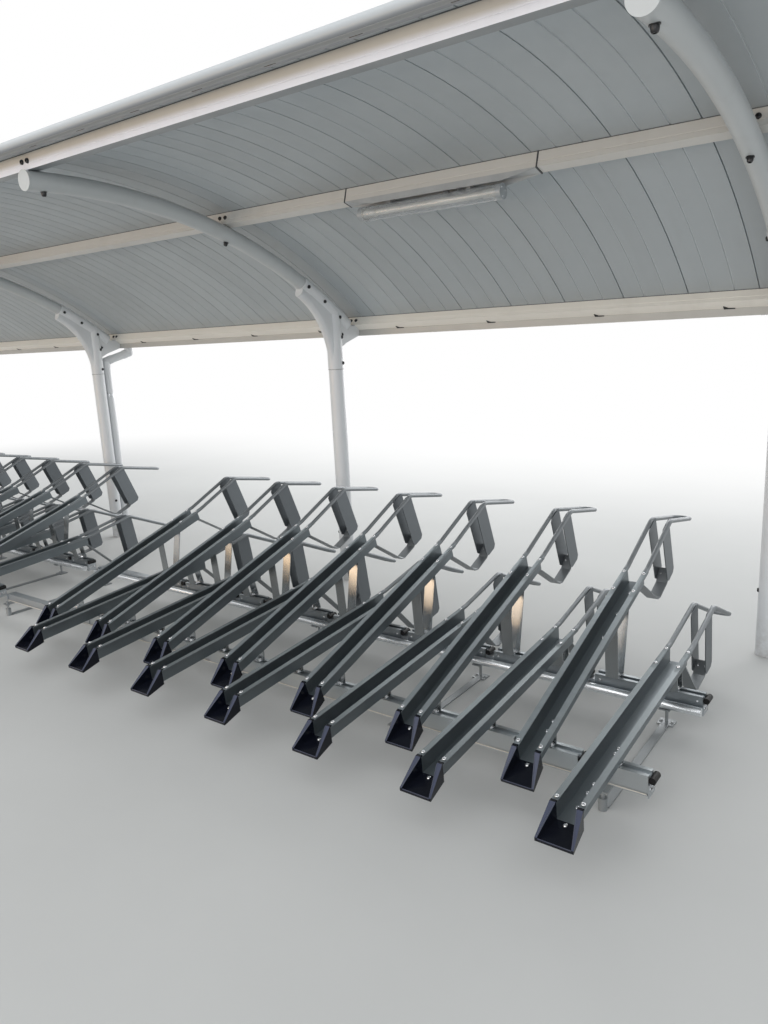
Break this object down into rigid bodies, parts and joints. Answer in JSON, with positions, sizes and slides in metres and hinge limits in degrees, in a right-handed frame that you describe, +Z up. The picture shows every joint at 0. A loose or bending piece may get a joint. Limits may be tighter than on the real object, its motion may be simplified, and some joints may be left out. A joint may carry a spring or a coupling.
{
  "type": "bike shelter",
  "caption": "Cantilever bicycle shelter with a curved ribbed metal roof on single posts and sloping wheel trays on sliding carriages.",
  "frame": {"origin": "centre of the third post's foot, on the ground", "axes": "+X along the shelter to the right as seen from the open front, -Y to the open front, +Z up"},
  "size_m": [8.7448, 2.2085, 2.259],
  "materials": {
    "white_paint": "satin white",
    "cream_paint": "satin cream",
    "roof_sheet": "satin grey",
    "zinc": "galvanised",
    "rack_steel": "dark galvanised",
    "black_plastic": "matte black",
    "light_housing": "glossy white",
    "clear_cover": "clear plastic"
  },
  "bodies": {
    "shelter": {"posts": "white_paint", "knuckles": "white_paint", "arms": "white_paint", "arm_caps": "white_paint", "front_beam": "white_paint", "middle_purlin": "cream_paint", "rear_beam": "cream_paint", "roof_left": "roof_sheet", "roof_middle": "roof_sheet", "roof_right": "roof_sheet", "front_trim": "white_paint", "rear_gutter": "white_paint", "gutter_ends": "white_paint", "downpipe": "white_paint", "pipe_clips": "zinc", "light_bracket": "zinc", "light_body": "light_housing", "light_cover": "clear_cover", "front_rails": "zinc", "rear_rails": "zinc", "rear_tubes": "zinc", "rail_feet": "zinc", "cross_ties": "zinc", "upper_trays": "rack_steel", "upper_hoops": "rack_steel", "upper_plates": "rack_steel", "upper_cradles": "rack_steel", "upper_legs": "rack_steel", "lower_trays": "rack_steel", "lower_hoops": "rack_steel", "lower_plates": "rack_steel", "lower_cradles": "rack_steel", "lower_legs": "rack_steel", "upper_noses": "black_plastic", "lower_noses": "black_plastic", "front_carriages": "zinc", "rear_carriages": "zinc", "rollers": "black_plastic"},
    "first_rack": {"first_tray": "rack_steel", "first_hoop": "rack_steel", "first_plates": "rack_steel", "first_cradle": "rack_steel", "first_legs": "rack_steel", "first_front_carriage": "zinc", "first_rear_carriage": "zinc", "first_rollers": "black_plastic", "first_nose": "black_plastic"}
  },
  "joints": [
    {"name": "first_rack_slide", "type": "slide", "parent": "shelter", "child": "first_rack", "axis": [1, 0, 0], "range_m": [-0.6, 0]}
  ]
}
